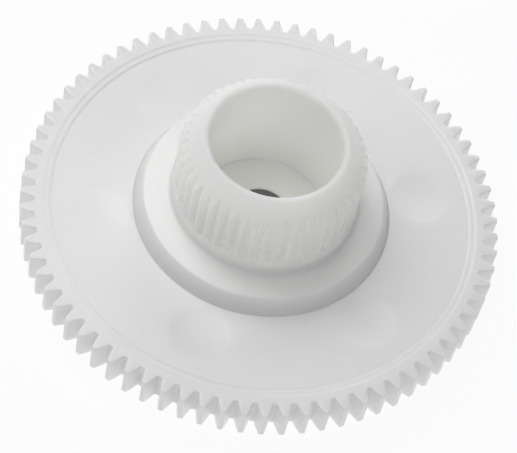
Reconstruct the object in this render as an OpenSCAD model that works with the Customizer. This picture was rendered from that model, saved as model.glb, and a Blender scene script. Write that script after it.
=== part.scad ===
// Compound spur gear: one moulding that carries a large straight-toothed gear, a flat web,
// a raised plinth and a fine-toothed pinion whose inside is a deep cup, on a metal shaft bush.
// Axis along Z, hub upwards, origin on the axis in the plane of the rear boss's end face.

/* [Large gear] */
// Number of teeth on the large gear
gear_teeth = 76; // [68:4:84]
// Module of the large gear
gear_module = 1; // [0.95:0.01:1.05]
// Face width of the large gear
gear_width = 5.8; // [5:0.1:6.4]
// Height of the large gear's top face above the rear boss's end face
gear_top_z = 8; // [7.8:0.1:8.4]
// Pressure angle of both toothings
pressure_angle = 20; // [18:0.5:22]

/* [Web] */
// Thickness of the web between the rim and the plinth
web_t = 2.7; // [2:0.1:3.2]
// Wall of the rim between the tooth roots and the first step down to the web
rim_wall = 1.65; // [1.2:0.05:2]
// Radial width of the ledge between the two steps
ledge_w = 1; // [0.6:0.1:1.4]
// Drop at each of the two steps
step_drop = 0.15; // [0.1:0.05:0.25]
// Number of shallow dishes round the web
dish_count = 6; // [3:1:8]
// Diameter of each dish
dish_d = 9.6; // [6:0.2:11]
// Depth of each dish in the middle
dish_depth = 0.35; // [0.2:0.05:0.5]
// Radius of the circle that the dishes stand on
dish_ring_r = 26.6; // [26.4:0.2:28]
// Angle of the first dish from +X
dish_start = 17.5; // [0:0.5:59.5]

/* [Plinth] */
// Radius of the plinth's foot, where it meets the web
plinth_foot_r = 21; // [20.6:0.1:21.4]
// Radius of the plinth's top edge
plinth_top_r = 19.5; // [19.2:0.1:20.2]
// Height of the plinth's top edge above the gear's top face
plinth_h = 2.7; // [2.2:0.1:3]
// Radius of the small fillet where the plain collar stands on the plinth
collar_fillet_r = 0.8; // [0.4:0.1:1.5]
// Height of the plain collar between the plinth and the pinion's teeth
collar_h = 3; // [2:0.1:4]

/* [Pinion] */
// Number of teeth on the pinion
pinion_teeth = 48; // [46:1:49]
// Module of the pinion
pinion_module = 0.6; // [0.59:0.01:0.61]
// Height of the hub's end face above the gear's top face
hub_h = 17.8; // [16.5:0.05:19]
// Radius of the round lip at the cup's mouth
lip_round = 0.7; // [0.3:0.05:0.8]
// Slope of the bevel between the lip and the tooth tips
bevel_angle = 45; // [36:1:50]
// Radius of the round between the bevel and the tooth tips
bevel_round = 1.8; // [1:0.1:1.8]

/* [Cup and shaft] */
// Inside diameter of the cup
cup_d = 21; // [20:0.1:21.6]
// Depth of the cup's floor below the gear's top face
floor_drop = 1.8; // [1.6:0.1:2]
// Thickness of the cup's floor
floor_t = 3.2; // [2.6:0.1:3.6]
// Outside diameter of the rear boss
boss_d = 17; // [14:0.5:19]
// Outside diameter of the shaft bush
bush_od = 9; // [8.6:0.1:9.6]
// Diameter of the shaft bore
bore_d = 6; // [5:0.1:6.4]
// Length of the shaft bush
bush_l = 6; // [5:0.1:6]

/* [Hidden] */
$fn = 128;
eps = 0.01;
gear_tip_r = gear_module * (gear_teeth / 2 + 1);
gear_root_r = gear_module * (gear_teeth / 2 - 1.25);
gear_bottom_z = gear_top_z - gear_width;
ledge_outer_r = gear_root_r - rim_wall;
ledge_inner_r = ledge_outer_r - ledge_w;
web_top_z = gear_top_z - 2 * step_drop;
web_bottom_z = web_top_z - web_t;
pinion_tip_r = pinion_module * (pinion_teeth / 2 + 1);
collar_r = pinion_tip_r;
collar_foot_r = collar_r + collar_fillet_r;
plinth_top_z = gear_top_z + plinth_h;
collar_foot_z = plinth_top_z + 0.25;
pinion_bottom_z = collar_foot_z + collar_h;
hub_top_z = gear_top_z + hub_h;
cup_r = cup_d / 2;
lip_x = cup_r + lip_round;
lip_z = hub_top_z - lip_round;
bevel_x = lip_x + lip_round * sin(bevel_angle);
bevel_z = lip_z + lip_round * cos(bevel_angle);
round_x = pinion_tip_r - bevel_round;
tangent_x = round_x + bevel_round * sin(bevel_angle);
tangent_z = bevel_z - (tangent_x - bevel_x) * tan(bevel_angle);
round_z = tangent_z - bevel_round * cos(bevel_angle);
floor_top_z = gear_top_z - floor_drop;
floor_bottom_z = floor_top_z - floor_t;
boss_r = boss_d / 2;
bush_r = bush_od / 2;
bore_r = bore_d / 2;
bore_chamfer = 0.3;
core_inner_r = 13.2;
core_outer_r = 18.4;
core_top_z = gear_top_z + 0.6;
core_round = 0.8;
boss_edge = 0.4;
flank_steps = 5;

function degrees(x) = x * 180 / PI;
function involute(a) = degrees(tan(a)) - a;

// Half of a tooth's angle at radius r, for a gear with a base circle of radius base_r
function half_tooth(r, base_r, teeth) =
    90 / teeth + involute(pressure_angle) - involute(acos(min(1, base_r / r)));

function polar(r, a) = [r * cos(a), r * sin(a)];

// Outline of a whole toothing: each tooth is an involute flank up, a tip and a flank down,
// and the gap between two teeth has a flat root with a sloping corner at each side.
function toothing(teeth, m) =
    let (
        pitch_r = m * teeth / 2,
        base_r = pitch_r * cos(pressure_angle),
        tip_r = pitch_r + m,
        root_r = pitch_r - 1.25 * m,
        flank_r = root_r + 0.3 * m,
        root_half = half_tooth(root_r, base_r, teeth) + degrees(0.25 * m / root_r),
        tip_soft = 0.08 * m,
        tip_half = half_tooth(tip_r, base_r, teeth) - degrees(tip_soft / tip_r)
    )
    [for (k = [0 : teeth - 1]) let (mid = k * 360 / teeth) each concat(
        [polar(root_r, mid - root_half)],
        [for (i = [0 : flank_steps])
            let (r = flank_r + (tip_r - tip_soft - flank_r) * i / flank_steps)
            polar(r, mid - half_tooth(r, base_r, teeth))],
        [polar(tip_r, mid - tip_half), polar(tip_r, mid + tip_half)],
        [for (i = [flank_steps : -1 : 0])
            let (r = flank_r + (tip_r - tip_soft - flank_r) * i / flank_steps)
            polar(r, mid + half_tooth(r, base_r, teeth))],
        [polar(root_r, mid + root_half)]
    )];

// A plain ring from radius r0 to r1 and from height z0 to z1
module ring(r0, r1, z0, z1) {
    translate([0, 0, z0]) difference() {
        cylinder(r = r1, h = z1 - z0);
        translate([0, 0, -eps]) cylinder(r = r0, h = z1 - z0 + 2 * eps);
    }
}

// Toothed ring of the large gear, with the ledge that steps down towards the web
module gear_rim() {
    color("ghostwhite") difference() {
        translate([0, 0, gear_bottom_z]) linear_extrude(gear_width)
            polygon(toothing(gear_teeth, gear_module));
        translate([0, 0, gear_bottom_z - eps])
            cylinder(r = ledge_inner_r, h = gear_width + 2 * eps);
        translate([0, 0, gear_top_z - step_drop])
            cylinder(r = ledge_outer_r, h = step_drop + eps);
    }
}

// Flat web with a circle of shallow round dishes in its upper face
module web_disc() {
    dish_sphere_r = (pow(dish_d / 2, 2) + pow(dish_depth, 2)) / (2 * dish_depth);
    color("ghostwhite") difference() {
        ring(plinth_foot_r, ledge_inner_r, web_bottom_z, web_top_z);
        for (k = [0 : dish_count - 1])
            rotate([0, 0, dish_start + k * 360 / dish_count])
                translate([dish_ring_r, 0, web_top_z + dish_sphere_r - dish_depth])
                    sphere(r = dish_sphere_r);
    }
}

// Section of the plinth: flank, gently rising top, plain collar and the cored groove behind
module plinth_section() {
    difference() {
        polygon([
            [core_inner_r, web_bottom_z],
            [plinth_foot_r, web_bottom_z],
            [plinth_foot_r, web_top_z],
            [plinth_top_r, plinth_top_z],
            [collar_foot_r, collar_foot_z],
            [collar_foot_r, collar_foot_z + collar_fillet_r],
            [collar_r, collar_foot_z + collar_fillet_r],
            [collar_r, pinion_bottom_z],
            [core_inner_r, pinion_bottom_z]
        ]);
        translate([collar_foot_r, collar_foot_z + collar_fillet_r]) circle(r = collar_fillet_r);
        translate([core_inner_r, web_bottom_z - 1])
            square([core_outer_r - core_inner_r, core_top_z - core_round - web_bottom_z + 1]);
        translate([core_inner_r + core_round, web_bottom_z])
            square([core_outer_r - core_inner_r - 2 * core_round, core_top_z - web_bottom_z]);
        for (x = [core_inner_r + core_round, core_outer_r - core_round])
            translate([x, core_top_z - core_round]) circle(r = core_round);
    }
}

// Raised plinth between the web and the pinion, round the lower part of the cup's wall
module hub_plinth() {
    color("ghostwhite") rotate_extrude() plinth_section();
}

// Section above the plinth: cup wall, round lip at the mouth, bevel and rounded shoulder
module pinion_section() {
    polygon([
        [cup_r, pinion_bottom_z],
        [pinion_tip_r, pinion_bottom_z],
        [pinion_tip_r, round_z],
        [tangent_x, tangent_z],
        [bevel_x, bevel_z],
        [lip_x, lip_z],
        [cup_r, lip_z]
    ]);
    translate([lip_x, lip_z]) circle(r = lip_round);
    translate([round_x, round_z]) circle(r = bevel_round);
}

// Fine-toothed pinion and the wall of the cup, which goes on down through the plinth.
// The tooth gaps run out through the bevel at the top.
module pinion() {
    color("ghostwhite") {
        ring(cup_r, core_inner_r, floor_top_z, pinion_bottom_z);
        intersection() {
            rotate_extrude() pinion_section();
            translate([0, 0, pinion_bottom_z]) linear_extrude(hub_top_z - pinion_bottom_z)
                rotate([0, 0, 180 / pinion_teeth])
                    polygon(toothing(pinion_teeth, pinion_module));
        }
    }
}

// Floor that the cup's wall stands on, with an eased edge round the bush
module cup_floor() {
    color("ghostwhite") rotate_extrude() polygon([
        [bush_r, floor_bottom_z],
        [core_inner_r, floor_bottom_z],
        [core_inner_r, floor_top_z],
        [bush_r + bore_chamfer, floor_top_z],
        [bush_r, floor_top_z - bore_chamfer]
    ]);
}

// Boss behind the floor, which holds the bush and stands the gear off its neighbour
module rear_boss() {
    color("ghostwhite") rotate_extrude() polygon([
        [bush_r, 0],
        [boss_r - boss_edge, 0],
        [boss_r, boss_edge],
        [boss_r, floor_bottom_z],
        [bush_r, floor_bottom_z]
    ]);
}

// Metal bush that the shaft turns in or is fixed to
module shaft_bush() {
    color("dimgray") rotate_extrude() polygon([
        [bore_r + bore_chamfer, 0],
        [bush_r, 0],
        [bush_r, bush_l],
        [bore_r + bore_chamfer, bush_l],
        [bore_r, bush_l - bore_chamfer],
        [bore_r, bore_chamfer]
    ]);
}

gear_rim();
web_disc();
hub_plinth();
pinion();
cup_floor();
rear_boss();
shaft_bush();
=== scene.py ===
"""Looks of a moulded plastic compound spur gear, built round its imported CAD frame.

All lengths are metres. The large sizes come from the frame, and the small ones repeat
the CAD source's own values.
"""

import math

import bmesh
import bpy
from mathutils import Matrix, Vector


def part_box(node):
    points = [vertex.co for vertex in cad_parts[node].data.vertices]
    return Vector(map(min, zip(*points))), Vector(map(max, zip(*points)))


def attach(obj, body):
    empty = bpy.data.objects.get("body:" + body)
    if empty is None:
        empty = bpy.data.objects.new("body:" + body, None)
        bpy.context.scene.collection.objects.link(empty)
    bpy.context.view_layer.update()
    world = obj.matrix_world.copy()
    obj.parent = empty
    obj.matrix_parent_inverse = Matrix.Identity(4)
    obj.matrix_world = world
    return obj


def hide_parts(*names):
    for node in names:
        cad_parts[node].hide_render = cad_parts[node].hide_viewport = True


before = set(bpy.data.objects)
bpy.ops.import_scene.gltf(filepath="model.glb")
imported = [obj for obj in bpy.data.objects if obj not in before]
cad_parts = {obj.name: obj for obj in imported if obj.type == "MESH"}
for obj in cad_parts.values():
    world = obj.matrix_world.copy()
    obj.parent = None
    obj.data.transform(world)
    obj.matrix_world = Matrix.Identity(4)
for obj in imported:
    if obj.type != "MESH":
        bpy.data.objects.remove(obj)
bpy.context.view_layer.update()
MM = 0.001

# ---------------------------------------------------------------- sizes taken from the frame

RIM_LOW, RIM_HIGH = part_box("gear_rim")
WEB_LOW, WEB_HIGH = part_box("web_disc")
PLINTH_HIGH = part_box("hub_plinth")[1]
PINION_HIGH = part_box("pinion")[1]
FLOOR_LOW, FLOOR_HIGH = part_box("cup_floor")
BOSS_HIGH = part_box("rear_boss")[1]
BUSH_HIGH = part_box("shaft_bush")[1]

GEAR_TOP, GEAR_BOTTOM = RIM_HIGH.z, RIM_LOW.z
WEB_TOP, WEB_BOTTOM = WEB_HIGH.z, WEB_LOW.z
LEDGE_INNER_R = WEB_HIGH.x
PLINTH_FOOT_R = PLINTH_HIGH.x
TEETH_BOTTOM, HUB_TOP = PLINTH_HIGH.z, PINION_HIGH.z
CUP_FLOOR, FLOOR_BOTTOM = FLOOR_HIGH.z, FLOOR_LOW.z
CORE_INNER_R = FLOOR_HIGH.x
BOSS_R, BUSH_R, BUSH_TOP = BOSS_HIGH.x, BUSH_HIGH.x, BUSH_HIGH.z

# ---------------------------------------------------------------- sizes shared with the CAD source

PRESSURE_ANGLE = math.radians(20)
GEAR_TEETH, GEAR_MODULE = 76, 1.0 * MM
PINION_TEETH, PINION_MODULE = 48, 0.6 * MM
LEDGE_OUTER_R, STEP_DROP = 35.1 * MM, 0.15 * MM
DISH_COUNT, DISH_R, DISH_DEPTH = 6, 4.8 * MM, 0.35 * MM
DISH_RING_R, DISH_START = 26.6 * MM, math.radians(17.5)
PLINTH_TOP_R, PLINTH_TOP = 19.5 * MM, GEAR_TOP + 2.7 * MM
COLLAR_R, COLLAR_FOOT, COLLAR_FILLET = 15.0 * MM, PLINTH_TOP + 0.25 * MM, 0.8 * MM
CORE_OUTER_R, CORE_TOP, CORE_ROUND = 18.4 * MM, GEAR_TOP + 0.6 * MM, 0.8 * MM
CUP_R, LIP_ROUND = 10.5 * MM, 0.7 * MM
BEVEL_ANGLE, BEVEL_ROUND = math.radians(45), 1.8 * MM
BORE_R, BORE_CHAMFER = 3.0 * MM, 0.3 * MM

# ---------------------------------------------------------------- sizes that only the looks have

# Rounding of the large gear's tooth ends, of the small gear's, and of the edges at the bush
EDGE, FINE_EDGE, TURNED_EDGE = 0.2 * MM, 0.06 * MM, 0.05 * MM
# Corner radius of the two shallow steps round the web, and how far each of them slopes
STEP_ROUND, STEP_SLOPE = 0.3 * MM, 0.4 * MM
# Half the width of the soft rim round a dish
DISH_SOFT = 0.12 * MM
# Height over which the small gear's gaps run out into the collar
RUN_OUT = 0.7 * MM
# Radius inside which the bevel is plain, with no trace of the teeth
PLAIN_R = CUP_R + 2.8 * LIP_ROUND
# Edges sharper than this keep a crease
CREASE = math.radians(50)

# Least and greatest depth that light goes under the plastic's surface
LEAST_DEPTH, MOST_DEPTH = 0.1 * MM, 6.0 * MM
# Depth in the cup's floor and in the rear boss, and the most it reaches in the rim
FLOOR_DEPTH, BOSS_DEPTH, RIM_DEPTH = 0.1 * MM, 0.3 * MM, 0.25 * MM
# How fast it grows with the distance from a joint: in the web, in the rim, and in the cup's
# wall away from the web and away from the cup's floor
WEB_SHARE, RIM_SHARE, CUP_SHARE, SEAT_SHARE = 0.08, 0.3, 0.75, 0.8
# The same outside the hub: at its foot, and how much more it is HUB_RISE above the collar's foot
HUB_SHARE, HUB_GAIN, HUB_RISE = 0.2, 0.45, 4 * MM


# ---------------------------------------------------------------- outlines

def rounded(points, closed=True, steps=4):
    """Points (x, y, radius) joined by straight lines, with an arc of its radius at each corner."""
    out = []
    count = len(points)
    for i, (x, y, radius) in enumerate(points):
        here = Vector((x, y))
        if radius <= 0 or (not closed and i in (0, count - 1)):
            out.append(here)
            continue
        back = Vector(points[i - 1][:2]) - here
        ahead = Vector(points[(i + 1) % count][:2]) - here
        half = back.angle(ahead) / 2
        longest = 0.48 * min(back.length, ahead.length)
        reach = min(radius / math.tan(half), longest)
        centre_way = (back.normalized() + ahead.normalized()).normalized()
        centre = here + centre_way * (reach / math.cos(half))
        start = here + back.normalized() * reach - centre
        end = here + ahead.normalized() * reach - centre
        turn = start.angle_signed(end)
        for k in range(steps + 1):
            out.append(centre + Matrix.Rotation(-turn * k / steps, 2) @ start)
    return out


def half_tooth(radius, teeth, module):
    """Half of a tooth's angle at a radius, for an involute flank."""
    base_r = module * teeth / 2 * math.cos(PRESSURE_ANGLE)
    slope = math.acos(min(1.0, base_r / radius))
    return (math.pi / 2 / teeth + math.tan(PRESSURE_ANGLE) - PRESSURE_ANGLE
            - math.tan(slope) + slope)


def toothing(teeth, module, phase=0.0):
    """Closed outline of a toothing, anticlockwise, with rounded roots and rounded tips."""
    pitch_r = module * teeth / 2
    tip_r, root_r = pitch_r + module, pitch_r - 1.25 * module
    root_round, tip_round = 0.3 * module, 0.16 * module
    flank = [root_r + module * part for part in (0.55, 1.0, 1.45, 1.85)]

    def at(radius, angle, corner=0.0):
        return radius * math.cos(angle), radius * math.sin(angle), corner

    def rising(sign):
        side = [at(root_r, sign * half_tooth(root_r, teeth, module), root_round)]
        side += [at(r, sign * half_tooth(r, teeth, module)) for r in flank]
        side.append(at(tip_r, sign * half_tooth(tip_r, teeth, module), tip_round))
        return side

    gap = math.pi / teeth
    tooth = [at(root_r, -gap)] + rising(-1) + [at(tip_r, 0.0)] + rising(1)[::-1]
    tooth.append(at(root_r, gap))
    shape = rounded(tooth, closed=False, steps=3)[:-1]
    outline = []
    for k in range(teeth):
        turn = Matrix.Rotation(phase + 2 * math.pi * k / teeth, 2)
        outline += [turn @ p for p in shape]
    return outline


def inset(outline, depth):
    """The outline moved inwards by depth, point for point."""
    moved = []
    for i, here in enumerate(outline):
        along = (outline[(i + 1) % len(outline)] - outline[i - 1]).normalized()
        moved.append(here + Vector((-along.y, along.x)) * depth)
    return moved


def circle_like(outline, radius):
    """A circle with one point at the angle of each point of the outline."""
    return [p.normalized() * radius for p in outline]


def even_circle(radius, count):
    """A circle of evenly spaced points."""
    return [Vector((radius * math.cos(a), radius * math.sin(a)))
            for a in (2 * math.pi * k / count for k in range(count))]


# ---------------------------------------------------------------- meshes

def finish_mesh(mesh, material, slot, *nodes):
    """Makes a piece of a mesh, smooth with its flats kept flat, in its CAD nodes' place."""
    for polygon in mesh.polygons:
        polygon.use_smooth = True
    mesh.set_sharp_from_angle(angle=CREASE)
    piece = bpy.data.objects.new(mesh.name, mesh)
    bpy.context.scene.collection.objects.link(piece)
    mesh.materials.append(material)
    flats = piece.modifiers.new("flats", "WEIGHTED_NORMAL")
    flats.mode = "FACE_AREA"
    flats.weight = 100
    flats.keep_sharp = True
    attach(piece, "root")
    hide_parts(*nodes)
    return piece


def tube_mesh(name, loops):
    """A ring of quads through loops of equally many (x, y, z) points, closed from last to first."""
    work = bmesh.new()
    rings = [[work.verts.new(v) for v in loop] for loop in loops]
    count = len(loops[0])
    for j, ring in enumerate(rings):
        after = rings[(j + 1) % len(rings)]
        for i in range(count):
            n = (i + 1) % count
            work.faces.new((ring[i], ring[n], after[n], after[i]))
    return outward(name, work)


def soften(piece, depth_at):
    """Stores how deep light goes under each point of a piece: less and less towards its joints."""
    depth = piece.data.attributes.new("light_depth", "FLOAT", "POINT")
    depth.data.foreach_set("value", [
        min(max(depth_at(math.hypot(v.co.x, v.co.y), v.co.z), LEAST_DEPTH), MOST_DEPTH)
        for v in piece.data.vertices])


def outward(name, work):
    """The mesh of a closed bmesh, which it uses up, with all faces turned outwards."""
    bmesh.ops.recalc_face_normals(work, faces=work.faces)
    mesh = bpy.data.meshes.new(name)
    work.to_mesh(mesh)
    work.free()
    return mesh


def revolve(name, profile, material, node, slot, count=288, light_depth=0.0):
    """A ring turned from a closed (radius, height, corner radius) profile."""
    section = rounded(profile)
    loops = [[(p.x, p.y, z) for p in even_circle(r, count)] for r, z in section]
    piece = finish_mesh(tube_mesh(name, loops), material, slot, node)
    soften(piece, lambda r, z: light_depth)


def lift(outline, z):
    """A flat outline as (x, y, z) points at one height, or at each point's own height."""
    heights = z if isinstance(z, list) else [z] * len(outline)
    return [(p.x, p.y, h) for p, h in zip(outline, heights)]


def edge_steps(radius, steps=4):
    """(inset, drop) pairs that turn a quarter round, from the end face over to the side."""
    pairs = []
    for k in range(steps + 1):
        a = math.pi / 2 * k / steps
        pairs.append((radius * (1 - math.sin(a)), radius * (1 - math.cos(a))))
    return pairs


# ---------------------------------------------------------------- materials

class Graph:
    """A new node material, with short ways to add nodes and to feed sockets."""

    def __init__(self, name):
        self.material = bpy.data.materials.new(name)
        self.material.use_nodes = True
        self.nodes, self.links = self.material.node_tree.nodes, self.material.node_tree.links
        self.shader = self.nodes["Principled BSDF"]
        self.place = self.nodes.new("ShaderNodeTexCoord").outputs["Object"]

    def feed(self, node, values):
        """Sets each named or numbered input, or links it where the value is an output."""
        for key, value in values.items():
            if isinstance(value, bpy.types.NodeSocket):
                self.links.new(value, node.inputs[key])
            else:
                node.inputs[key].default_value = value

    def add(self, kind, values):
        """A new node with its inputs fed."""
        node = self.nodes.new(kind)
        self.feed(node, values)
        return node

    def noise(self, scale, detail, roughness=0.5):
        """Noise fixed to the object, with scale in cells a metre."""
        return self.add("ShaderNodeTexNoise", {
            "Vector": self.place, "Scale": scale, "Detail": detail, "Roughness": roughness,
        }).outputs["Fac"]

    def ramp(self, source, start, start_colour, end, end_colour):
        """A colour that turns from one to the other as the source goes from start to end."""
        node = self.add("ShaderNodeValToRGB", {"Fac": source})
        first, last = node.color_ramp.elements[0], node.color_ramp.elements[1]
        first.position, first.color = start, (*start_colour, 1)
        last.position, last.color = end, (*end_colour, 1)
        return node.outputs["Color"]

    def spread(self, source, low=0.0, high=1.0, to_low=0.0, to_high=1.0):
        """The source's span from low to high, stretched to a new span and held at its ends."""
        return self.add("ShaderNodeMapRange", {
            "Value": source, "From Min": low, "From Max": high, "To Min": to_low, "To Max": to_high,
        }).outputs["Result"]

    def mixed(self, share, low, high, kind="MIX"):
        """A share of one colour laid over another, or multiplied into it."""
        node = self.nodes.new("ShaderNodeMix")
        node.data_type, node.blend_type = "RGBA", kind
        self.feed(node, {0: share, 6: low, 7: high})
        return node.outputs[2]

    def bump(self, height, strength, distance, under=None):
        """A bump of a height pattern, on top of another bump where one is given."""
        node = self.add("ShaderNodeBump", {
            "Height": height, "Strength": strength, "Distance": distance,
        })
        if under is not None:
            self.feed(node, {"Normal": under})
        return node.outputs["Normal"]


def grey(value):
    """A colour with three equal channels."""
    return (value, value, value)


def plastic_material():
    """Natural acetal: white, translucent, satin, with faint flow marks and fine moulded grain.

    Where light goes deep, its colour has a painted yellow tint that stands in for light scattered
    deep in the plastic, and its gloss is duller; where light stays shallow, the painted tint is a
    little cooler.
    """
    graph = Graph("natural_acetal")
    attribute = graph.nodes.new("ShaderNodeAttribute")
    attribute.attribute_name = "light_depth"
    depth = attribute.outputs["Fac"]
    # Painted tint of scattered light: a little cooler where light stays shallow, a little yellower
    # where it goes deep
    scattered_light_tint = graph.mixed(graph.spread(depth, high=2.0 * MM),
                       (0.968, 0.966, 0.976, 1), (0.970, 0.972, 0.936, 1))
    cloudy = graph.ramp(graph.noise(60, 3), 0.3, (0.988, 0.988, 0.990), 0.7, grey(1.0))
    uneven = graph.noise(140, 4)
    roughness = graph.mixed(graph.spread(depth, low=2.5 * MM, high=5.0 * MM),
                            graph.ramp(uneven, 0.3, grey(0.28), 0.75, grey(0.33)),
                            graph.ramp(uneven, 0.3, grey(0.45), 0.75, grey(0.55)))
    grain = graph.bump(graph.noise(2500, 3, 0.6), 0.12, 0.05 * MM)
    graph.feed(graph.shader, {
        "IOR": 1.48,
        "Subsurface Weight": 1.0,
        "Subsurface Radius": grey(1.0),
        "Subsurface Scale": depth,
        "Base Color": graph.mixed(1.0, scattered_light_tint, cloudy, "MULTIPLY"),
        "Roughness": roughness,
        "Normal": graph.bump(graph.noise(90, 2), 0.15, 0.3 * MM, under=grain),
    })
    return graph.material


def metal_material():
    """Dark sintered metal with a pitted grain."""
    graph = Graph("sintered_metal")
    grain = graph.noise(3000, 4)
    graph.feed(graph.shader, {
        "Metallic": 1.0,
        "Base Color": graph.ramp(grain, 0.0, (0.12, 0.12, 0.122), 1.0, (0.27, 0.27, 0.275)),
        "Roughness": graph.spread(grain, to_low=0.4, to_high=0.65),
        "Normal": graph.bump(grain, 0.4, 0.05 * MM),
    })
    return graph.material


PLASTIC = plastic_material()
METAL = metal_material()


# ---------------------------------------------------------------- pieces of the moulding

def toothed_rim():
    """The large gear's toothed ring, with softened tooth ends and the ledge towards the web."""
    outline = toothing(GEAR_TEETH, GEAR_MODULE)
    root_r = GEAR_MODULE * (GEAR_TEETH / 2 - 1.25)
    face_r = root_r - 0.6 * MM
    steps = edge_steps(EDGE)
    loops = [lift(inset(outline, depth), GEAR_TOP - drop) for depth, drop in steps]
    loops += [lift(inset(outline, depth), GEAR_BOTTOM + drop) for depth, drop in steps[::-1]]
    ledge_z = GEAR_TOP - STEP_DROP
    inner = rounded([
        (face_r, GEAR_BOTTOM, 0),
        (LEDGE_INNER_R, GEAR_BOTTOM, STEP_ROUND),
        (LEDGE_INNER_R, WEB_TOP, 0),
        (LEDGE_INNER_R + STEP_SLOPE, ledge_z, STEP_ROUND),
        (LEDGE_OUTER_R, ledge_z, STEP_ROUND),
        (LEDGE_OUTER_R + STEP_SLOPE, GEAR_TOP, STEP_ROUND),
        (face_r, GEAR_TOP, 0),
    ], closed=False)
    loops += [lift(circle_like(outline, r), z) for r, z in inner]
    piece = finish_mesh(tube_mesh("toothed_rim", loops), PLASTIC, "gear_plastic", "gear_rim")
    soften(piece, lambda r, z: min(RIM_SHARE * (r - LEDGE_INNER_R), RIM_DEPTH))


def dish_profile():
    """(distance from the dish's middle, drop) from the middle out to just past its rim."""
    ball_r = (DISH_R ** 2 + DISH_DEPTH ** 2) / (2 * DISH_DEPTH)
    inside = [DISH_R * k / 10 for k in range(1, 10)]
    profile = [(r, DISH_DEPTH - (ball_r - math.sqrt(ball_r ** 2 - r ** 2))) for r in inside]
    rim = [(DISH_R - DISH_SOFT, 0.026 * MM), (DISH_R, 0.009 * MM), (DISH_R + DISH_SOFT, 0.0)]
    return profile + rim


def web_plate():
    """The web: one patch of rings round each dish, carried out to the web's own edges."""
    half_sector = math.pi / DISH_COUNT
    arc_n, side_n = 40, 16
    width = LEDGE_INNER_R - PLINTH_FOOT_R
    turns = [half_sector * (2 * k / arc_n - 1) for k in range(arc_n)]
    border = [(LEDGE_INNER_R, a) for a in turns]
    border += [(LEDGE_INNER_R - width * k / side_n, half_sector) for k in range(side_n)]
    border += [(PLINTH_FOOT_R, -a) for a in turns]
    border += [(PLINTH_FOOT_R + width * k / side_n, -half_sector) for k in range(side_n)]
    middle = Vector((DISH_RING_R, 0))
    edge = [Vector((r * math.cos(a), r * math.sin(a))) for r, a in border]
    ways = [(p - middle).normalized() for p in edge]
    past = [middle + w * (DISH_R + DISH_SOFT) for w in ways]
    count = len(edge)
    work = bmesh.new()
    for k in range(DISH_COUNT):
        turn = Matrix.Rotation(DISH_START + k * 2 * half_sector, 2)

        def ring(points, z):
            return [work.verts.new((*(turn @ p), z)) for p in points]

        centre = work.verts.new((*(turn @ middle), WEB_TOP - DISH_DEPTH))
        rings = [ring([middle + w * r for w in ways], WEB_TOP - drop)
                 for r, drop in dish_profile()]
        rings += [ring([p.lerp(e, part) for p, e in zip(past, edge)], WEB_TOP)
                  for part in (0.15, 0.35, 0.6, 0.8, 0.93, 1.0)]
        rings.append(ring(edge, WEB_BOTTOM))
        for i in range(count):
            n = (i + 1) % count
            work.faces.new((centre, rings[0][i], rings[0][n]))
            for a, b in zip(rings[:-2], rings[1:-1]):
                work.faces.new((a[i], b[i], b[n], a[n]))
            on_side = arc_n <= i < arc_n + side_n or i >= 2 * arc_n + side_n
            if not on_side:
                work.faces.new((rings[-2][i], rings[-1][i], rings[-1][n], rings[-2][n]))
        under = work.verts.new((*(turn @ middle), WEB_BOTTOM))
        for i in range(count):
            work.faces.new((under, rings[-1][(i + 1) % count], rings[-1][i]))
    bmesh.ops.remove_doubles(work, verts=work.verts, dist=0.001 * MM)
    mesh = outward("web_plate", work)
    piece = finish_mesh(mesh, PLASTIC, "gear_plastic", "web_disc")
    soften(piece, lambda r, z: WEB_SHARE * min(r - PLINTH_FOOT_R, LEDGE_INNER_R - r))


def hub_section():
    """(radius, height) points from the cup's foot round the back and up to the collar's top."""
    return rounded([
        (CUP_R, CUP_FLOOR, 0),
        (CORE_INNER_R, CUP_FLOOR, 0),
        (CORE_INNER_R, CORE_TOP, CORE_ROUND),
        (CORE_OUTER_R, CORE_TOP, CORE_ROUND),
        (CORE_OUTER_R, WEB_BOTTOM, 0.3 * MM),
        (PLINTH_FOOT_R, WEB_BOTTOM, 0),
        (PLINTH_FOOT_R, WEB_TOP, 0),
        (PLINTH_TOP_R, PLINTH_TOP, 0.4 * MM),
        (COLLAR_R, COLLAR_FOOT, COLLAR_FILLET),
        (COLLAR_R, TEETH_BOTTOM, 0),
    ], closed=False, steps=6)


def bevel_height(radius):
    """Height of the hub's bevel and shoulder at a radius outside its lip."""
    slope = math.tan(BEVEL_ANGLE)
    bevel_r = CUP_R + LIP_ROUND * (1 + math.sin(BEVEL_ANGLE))
    bevel_z = HUB_TOP - LIP_ROUND * (1 - math.cos(BEVEL_ANGLE))
    tip_r = PINION_MODULE * (PINION_TEETH / 2 + 1)
    tangent_r = tip_r - BEVEL_ROUND * (1 - math.sin(BEVEL_ANGLE))
    tangent_z = bevel_z - (tangent_r - bevel_r) * slope
    if radius <= tangent_r:
        return bevel_z - (radius - bevel_r) * slope
    across = min(radius - (tip_r - BEVEL_ROUND), BEVEL_ROUND)
    centre_z = tangent_z - BEVEL_ROUND * math.cos(BEVEL_ANGLE)
    return centre_z + math.sqrt(BEVEL_ROUND ** 2 - across ** 2)


def hub_mouth():
    """(radius, height) points from the plain bevel over the lip and down the cup's wall."""
    arc_n, wall_n = 10, 24
    points = [(PLAIN_R, bevel_height(PLAIN_R))]
    for k in range(arc_n + 1):
        a = BEVEL_ANGLE - (BEVEL_ANGLE + math.pi / 2) * k / arc_n
        points.append((CUP_R + LIP_ROUND * (1 + math.sin(a)),
                       HUB_TOP - LIP_ROUND * (1 - math.cos(a))))
    wall_top = HUB_TOP - LIP_ROUND
    return points + [(CUP_R, wall_top + (CUP_FLOOR - wall_top) * k / wall_n)
                     for k in range(1, wall_n)]


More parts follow.
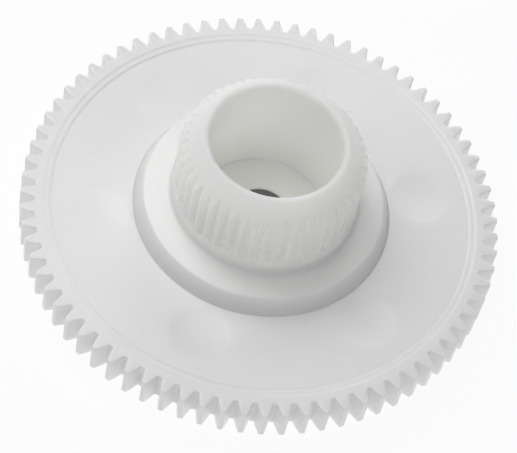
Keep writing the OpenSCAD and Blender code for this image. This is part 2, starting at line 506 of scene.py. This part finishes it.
def hub_depth(r, z):
    """Depth of light in the hub: it grows away from the web, and in the cup away from its floor."""
    foot = math.hypot(r - PLINTH_FOOT_R, max(z - WEB_TOP, 0))
    if r < CORE_INNER_R:
        seat = max(SEAT_SHARE * (z - CUP_FLOOR), LEAST_DEPTH)
        return 1 / (1 / (CUP_SHARE * foot) + 1 / seat)
    above = min(max((z - COLLAR_FOOT) / HUB_RISE, 0), 1)
    out = min(max((r - CORE_OUTER_R) / (PLINTH_TOP_R - CORE_OUTER_R), 0), 1)
    return foot * (HUB_SHARE + HUB_GAIN * max(above, 0.5 * out))


def pinion_hub():
    """The fine-toothed hub on its plinth, whose teeth run out into the collar and the bevel."""
    outline = toothing(PINION_TEETH, PINION_MODULE, math.pi / PINION_TEETH)
    loops = [lift(circle_like(outline, r), z) for r, z in hub_section()]
    foot_n, bevel_n = 6, 12
    for k in range(1, foot_n + 1):
        left = (1 - k / foot_n) ** 3
        level = [p.lerp(p.normalized() * COLLAR_R, left) for p in outline]
        loops.append(lift(level, TEETH_BOTTOM + RUN_OUT * k / foot_n))
    for depth, drop in edge_steps(FINE_EDGE)[::-1]:
        level = inset(outline, depth)
        loops.append(lift(level, [bevel_height(p.length) - drop for p in level]))
    shoulder = inset(outline, FINE_EDGE)
    for k in range(bevel_n - 1, 0, -1):
        part = 1 - (1 - k / bevel_n) ** 1.5
        level = [p.normalized() * (PLAIN_R + (p.length - PLAIN_R) * part) for p in shoulder]
        loops.append(lift(level, [bevel_height(p.length) for p in level]))
    loops += [lift(circle_like(outline, r), z) for r, z in hub_mouth()]
    piece = finish_mesh(tube_mesh("pinion_hub", loops), PLASTIC, "gear_plastic",
                        "pinion", "hub_plinth")
    soften(piece, hub_depth)


def cup_floor_disc():
    """The cup's floor, with an eased edge round the bush."""
    revolve("cup_floor_disc", [
        (BUSH_R, FLOOR_BOTTOM, 0),
        (CORE_INNER_R, FLOOR_BOTTOM, 0.4 * MM),
        (CORE_INNER_R, CUP_FLOOR, 0),
        (BUSH_R + BORE_CHAMFER, CUP_FLOOR, 0.1 * MM),
        (BUSH_R, CUP_FLOOR - BORE_CHAMFER, TURNED_EDGE),
    ], PLASTIC, "cup_floor", "gear_plastic", light_depth=FLOOR_DEPTH)


def rear_boss_ring():
    """The boss behind the floor."""
    revolve("rear_boss_ring", [
        (BUSH_R, 0, TURNED_EDGE),
        (BOSS_R, 0, 0.4 * MM),
        (BOSS_R, FLOOR_BOTTOM, 0),
        (BUSH_R, FLOOR_BOTTOM, 0),
    ], PLASTIC, "rear_boss", "gear_plastic", light_depth=BOSS_DEPTH)


def bush_sleeve():
    """The metal bush, chamfered at both ends of its bore."""
    revolve("bush_sleeve", [
        (BORE_R + BORE_CHAMFER, 0, TURNED_EDGE),
        (BUSH_R, 0, TURNED_EDGE),
        (BUSH_R, BUSH_TOP, TURNED_EDGE),
        (BORE_R + BORE_CHAMFER, BUSH_TOP, TURNED_EDGE),
        (BORE_R, BUSH_TOP - BORE_CHAMFER, TURNED_EDGE),
        (BORE_R, BORE_CHAMFER, TURNED_EDGE),
    ], METAL, "shaft_bush", "bush_metal", count=128)


# ---------------------------------------------------------------- camera, floor and light

def camera():
    """The camera, from its tilt, roll and distance to the middle of the large gear's top face."""
    turn, tilt, roll = math.radians(-2.51), math.radians(34.75), math.radians(13.53)
    distance = 334.5 * MM
    aside, above = -0.58 * MM, -3.52 * MM
    data = bpy.data.cameras.new("camera")
    data.lens = 143.7
    data.sensor_width = 36
    data.clip_start = 0.01
    rotation = (Matrix.Rotation(turn, 3, "Z") @ Matrix.Rotation(tilt, 3, "X")
                @ Matrix.Rotation(roll, 3, "Z"))
    eye = bpy.data.objects.new("camera", data)
    eye.matrix_world = Matrix.Translation(
        Vector((0, 0, GEAR_TOP)) + rotation @ Vector((aside, above, distance))) @ rotation.to_4x4()
    bpy.context.scene.collection.objects.link(eye)
    bpy.context.scene.camera = eye


def area_light(name, bearing, height, size, power):
    """A square area light aimed at the gear, from a bearing off +X and a height in degrees."""
    distance = 0.4
    data = bpy.data.lights.new(name, "AREA")
    data.size = size
    data.energy = power
    light = bpy.data.objects.new(name, data)
    light.visible_camera = False
    turn = (Matrix.Rotation(math.radians(bearing), 3, "Z")
            @ Matrix.Rotation(math.radians(-height), 3, "Y"))
    light.location = turn @ Vector((distance, 0, 0))
    light.rotation_euler = (-light.location).to_track_quat("-Z", "Y").to_euler()
    bpy.context.scene.collection.objects.link(light)


def floor():
    """A plain pale floor that glows a little, so that it stays white behind the gear."""
    material = bpy.data.materials.new("pale_floor")
    material.use_nodes = True
    shader = material.node_tree.nodes["Principled BSDF"]
    shader.inputs["Base Color"].default_value = (0.1, 0.1, 0.1, 1)
    shader.inputs["Roughness"].default_value = 0.9
    shader.inputs["Specular IOR Level"].default_value = 0.0
    shader.inputs["Emission Color"].default_value = (1, 1, 1, 1)
    shader.inputs["Emission Strength"].default_value = 0.9
    mesh = bpy.data.meshes.new("floor")
    half = 4.0
    corners = [(-half, -half, 0), (half, -half, 0), (half, half, 0), (-half, half, 0)]
    mesh.from_pydata(corners, [], [(0, 1, 2, 3)])
    mesh.materials.append(material)
    plane = bpy.data.objects.new("floor", mesh)
    bpy.context.scene.collection.objects.link(plane)


def studio():
    """Soft light from all round, strongest from behind on the left, before a white backdrop."""
    world = bpy.data.worlds.new("surround")
    world.use_nodes = True
    world.node_tree.nodes["Background"].inputs["Color"].default_value = (1, 1, 1, 1)
    world.cycles_visibility.diffuse = False
    world.cycles_visibility.glossy = False
    scene = bpy.context.scene
    scene.world = world
    for name, bearing, height, size, power in (
            ("key", 140, 55, 0.22, 0.43),
            ("top_back", 110, 75, 0.20, 0.24),
            ("back", 78, 38, 0.18, 0.23),
            ("left_back", 140, 38, 0.22, 0.12),
            ("left", 190, 38, 0.22, 0.16),
            ("left_front", 225, 52, 0.25, 0.10),
            ("front", 272, 52, 0.28, 0.20),
            ("right", 320, 38, 0.22, 0.21),
            ("low_back", 90, 15, 0.20, 0.08)):
        area_light(name, bearing, height, size, power)
    scene.view_settings.view_transform = "Standard"
    scene.cycles.max_bounces = 16
    scene.cycles.diffuse_bounces = 12


camera()
studio()
floor()
toothed_rim()
web_plate()
pinion_hub()
cup_floor_disc()
rear_boss_ring()
bush_sleeve()
